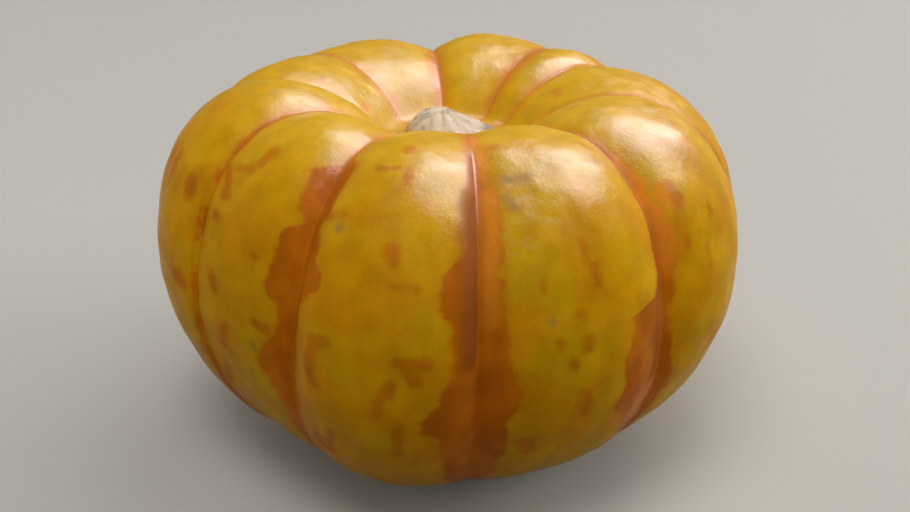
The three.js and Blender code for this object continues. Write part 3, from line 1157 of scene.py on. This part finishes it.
@dataclass(frozen=True)
class CorkFinish:
    """Dry beige cork with grey and brown patches, and a brown tip on its right.

    Ramps to the left or the right run along X, in mm, and those near the middle or the edge run by
    the scar's reach, which is 0 at its peak and 1 at its edge.
    """

    pale: Colour = (0.68, 0.53, 0.34)
    grey: Colour = (0.38, 0.3, 0.16)
    grey_clouds: Clouds = Clouds(2.2, 3, 2.0, (0.44, 0.58))
    near_middle: Span = (0.55, 0.2)
    to_left: Span = (-2, -5)
    elsewhere: float = 0.15
    grey_strength: float = 0.75
    brown: Colour = (0.24, 0.12, 0.03)
    specks: Clouds = Clouds(1.4, 2, 8.0, (0.56, 0.72))
    speck_strength: float = 0.3
    to_right: Span = (4.6, 6.2)
    near_edge: Span = (0.9, 1.0)
    edge_share: float = 0.5
    tip_strength: float = 0.9
    gloss: float = 0.1
    roughness: float = 0.9
    grains: Clouds = Clouds(0.35, 3, 1.0)
    grain_depth: float = 0.1

    def material(self) -> bpy.types.Material:
        """Builds the cork's material."""
        tree = MaterialTree("dry cork")
        reach = tree.own("reach")
        right = tree.node("ShaderNodeSeparateXYZ", {0: tree.place}).outputs[0]
        left, tip = (tree.fade(right, *(end * MM for end in span)) for span in (self.to_left, self.to_right))

        greyer = tree.fade(tree.most(tree.fade(reach, *self.near_middle), left), 0.0, 1.0, self.elsewhere)
        grey = tree.times(tree.patches(self.grey_clouds), greyer, self.grey_strength)
        edge = tree.times(tree.fade(reach, *self.near_edge), self.edge_share)
        colour = tree.blend(grey, self.pale, self.grey)
        colour = tree.blend(tree.times(tree.patches(self.specks), self.speck_strength), colour, self.brown)
        colour = tree.blend(tree.times(tree.most(tip, edge), self.tip_strength), colour, self.brown)

        tree.feed(tree.shader.inputs["Base Color"], colour)
        tree.shader.inputs["Specular IOR Level"].default_value = self.gloss
        tree.shader.inputs["Roughness"].default_value = self.roughness
        tree.bump(tree.noise(self.grains), self.grain_depth)
        return tree.material


# ---- The studio --------------------------------------------------------------------------------


class LampUse(Enum):
    """What a lamp adds to: the light on a surface, the sheen on it, or both."""

    BOTH = "both"
    FILL = "fill"
    SHEEN = "sheen"


@dataclass(frozen=True)
class Lamp:
    """A soft lamp that points at the pumpkin, with its length towards the back or up."""

    name: str
    place: Place
    width: float
    length: float
    power: float
    use: LampUse = LampUse.BOTH
    colour: Colour = (1, 1, 1)
    level_from: float = 0.96  # how nearly straight back it points when its length goes up instead

    def turn(self, target: Vector) -> Matrix:
        """How the lamp is turned so that it shines at the target."""
        back = (Vector(self.place) - target).normalized()
        upright = Vector((0, 0, 1)) if abs(back.y) > self.level_from else Vector((0, 1, 0))
        length = (upright - upright.dot(back) * back).normalized()
        return Matrix((length.cross(back), length, back)).transposed()

    def hang(self, target: Vector) -> None:
        """Makes the lamp and turns it to the target."""
        light = bpy.data.lights.new(self.name, "AREA")
        light.shape = "RECTANGLE"
        light.size = self.width
        light.size_y = self.length
        light.energy = self.power
        light.color = self.colour
        holder = bpy.data.objects.new(self.name, light)
        holder.location = self.place
        holder.visible_camera = False
        holder.visible_diffuse = self.use is not LampUse.SHEEN
        holder.visible_glossy = self.use is not LampUse.FILL
        holder.rotation_euler = self.turn(target).to_euler()
        bpy.context.scene.collection.objects.link(holder)


@dataclass
class Studio:
    """The pale floor that sweeps up into a backdrop, the soft light and the camera."""

    floor_middle: float = 0.3
    floor_radius: float = 1.3
    sweep_radius: float = 0.5
    sweep_step: int = 10
    backdrop_height: float = 0.9
    segments: int = 96
    floor_colour: Colour = (0.54, 0.52, 0.48)
    floor_underlight: Colour = (0.11, 0.097, 0.08)
    lamps: tuple[Lamp, ...] = (
        Lamp("window", (0.476, 0.436, 1.043), 0.92, 1.3, 5.2),
        Lamp("sheen", (0.51, 0.32, 1.07), 1.05, 1.22, 310, LampUse.SHEEN, (0.95, 0.97, 1.18)),
        Lamp("high", (-0.165, -0.31, 1.18), 0.6, 0.6, 5.5),
        Lamp("front", (0, -1.128, 0.442), 1.386, 0.757, 3.1, LampUse.FILL),
        Lamp("left", (-1.157, 0.077, 0.339), 0.757, 1.386, 2.6, LampUse.FILL),
        Lamp("back left", (-0.677, 0.902, 0.442), 0.99, 0.87, 2.8, LampUse.FILL),
        Lamp("back right", (1.014, 0.633, 0.139), 0.643, 0.873, 4.2, LampUse.FILL),
        Lamp("right", (1.1, 0.06, 0.5), 0.7, 0.8, 5.8, LampUse.FILL),
    )
    haze: float = 0.1
    haze_colour: Colour = (1, 0.95, 0.85)
    lens: float = 42.16
    near_clip: float = 0.01
    camera_at: Place = (0.0, -0.1755, 0.1138)
    aim: Place = (0.0007, -0.00026, 0.02946)
    roll: float = 0.5527

    def sweep(self) -> list[tuple[float, float]]:
        """The floor's section from its middle out: radius and height."""
        section = [(self.floor_middle, 0.0)]
        for angle in range(0, 91, self.sweep_step):
            turn = math.radians(angle)
            out = self.floor_radius + self.sweep_radius * math.sin(turn)
            section.append((out, self.sweep_radius * (1 - math.cos(turn))))
        return [*section, (self.floor_radius + self.sweep_radius, self.backdrop_height)]

    def build_floor(self) -> None:
        """The floor and its backdrop, which look pale and throw little light up at the fruit."""
        section = self.sweep()
        points = [(0.0, 0.0, 0.0)]
        for radius, height in section:
            for step in range(self.segments):
                turn = math.tau * step / self.segments
                points.append((radius * math.cos(turn), radius * math.sin(turn), height))
        ring = [(1 + step, 1 + (step + 1) % self.segments) for step in range(self.segments)]
        faces = [(0, a, b) for a, b in ring]
        for inner in range(len(section) - 1):
            start = inner * self.segments
            end = start + self.segments
            faces += [(start + a, end + a, end + b, start + b) for a, b in ring]
        mesh = bpy.data.meshes.new("floor")
        mesh.from_pydata(points, [], faces)
        mesh.shade_smooth()
        floor = bpy.data.objects.new("floor", mesh)
        bpy.context.scene.collection.objects.link(floor)
        mesh.materials.append(self.floor_material())

    def floor_material(self) -> bpy.types.Material:
        """Matt and pale where it is seen or mirrored, and darker for the light that it returns."""
        tree = MaterialTree("pale floor")
        rays = tree.node("ShaderNodeLightPath").outputs
        seen = tree.most(rays["Is Camera Ray"], rays["Is Glossy Ray"])
        seen = tree.most(seen, rays["Is Transmission Ray"])
        colour = tree.blend(seen, self.floor_underlight, self.floor_colour)
        tree.feed(tree.shader.inputs["Base Color"], colour)
        tree.shader.inputs["Roughness"].default_value = 1.0
        tree.shader.inputs["Specular IOR Level"].default_value = 0.0
        return tree.material

    def build_world(self) -> None:
        """A dim even light all round."""
        world = bpy.data.worlds.new("studio")
        world.use_nodes = True
        sky = world.node_tree.nodes["Background"]
        sky.inputs["Color"].default_value = (*self.haze_colour, 1)
        sky.inputs["Strength"].default_value = self.haze
        bpy.context.scene.world = world

    def build_camera(self) -> None:
        """The camera, a little above the fruit and in front of it."""
        data = bpy.data.cameras.new("camera")
        data.lens = self.lens
        data.clip_start = self.near_clip
        camera = bpy.data.objects.new("camera", data)
        camera.location = self.camera_at
        look = (Vector(self.aim) - Vector(self.camera_at)).to_track_quat("-Z", "Y")
        turn = Matrix.Rotation(math.radians(self.roll), 3, "Z").to_quaternion()
        camera.rotation_euler = (look @ turn).to_euler()
        bpy.context.scene.collection.objects.link(camera)
        bpy.context.scene.camera = camera

    def build(self, target: Vector) -> None:
        """Sets up everything round the object.

        Args:
            target: The point that the lamps are turned to.
        """
        bpy.context.scene.view_settings.view_transform = "Standard"
        self.build_floor()
        self.build_world()
        for lamp in self.lamps:
            lamp.hang(target)
        self.build_camera()


# ---- Main --------------------------------------------------------------------------------------


def main() -> None:
    """Builds each piece, then the studio round them."""
    logging.basicConfig(level=logging.INFO, format="%(message)s")
    pieces = (
        Fruit().build(SkinFinish().material()),
        StemScar().build(CorkFinish().material()),
    )
    for piece in pieces:
        LOG.info("%s: %d faces", piece.name, len(piece.data.polygons))
    low, high = SOLID_BOX
    Studio().build((low + high) / 2)


if __name__ == "__main__":
    main()
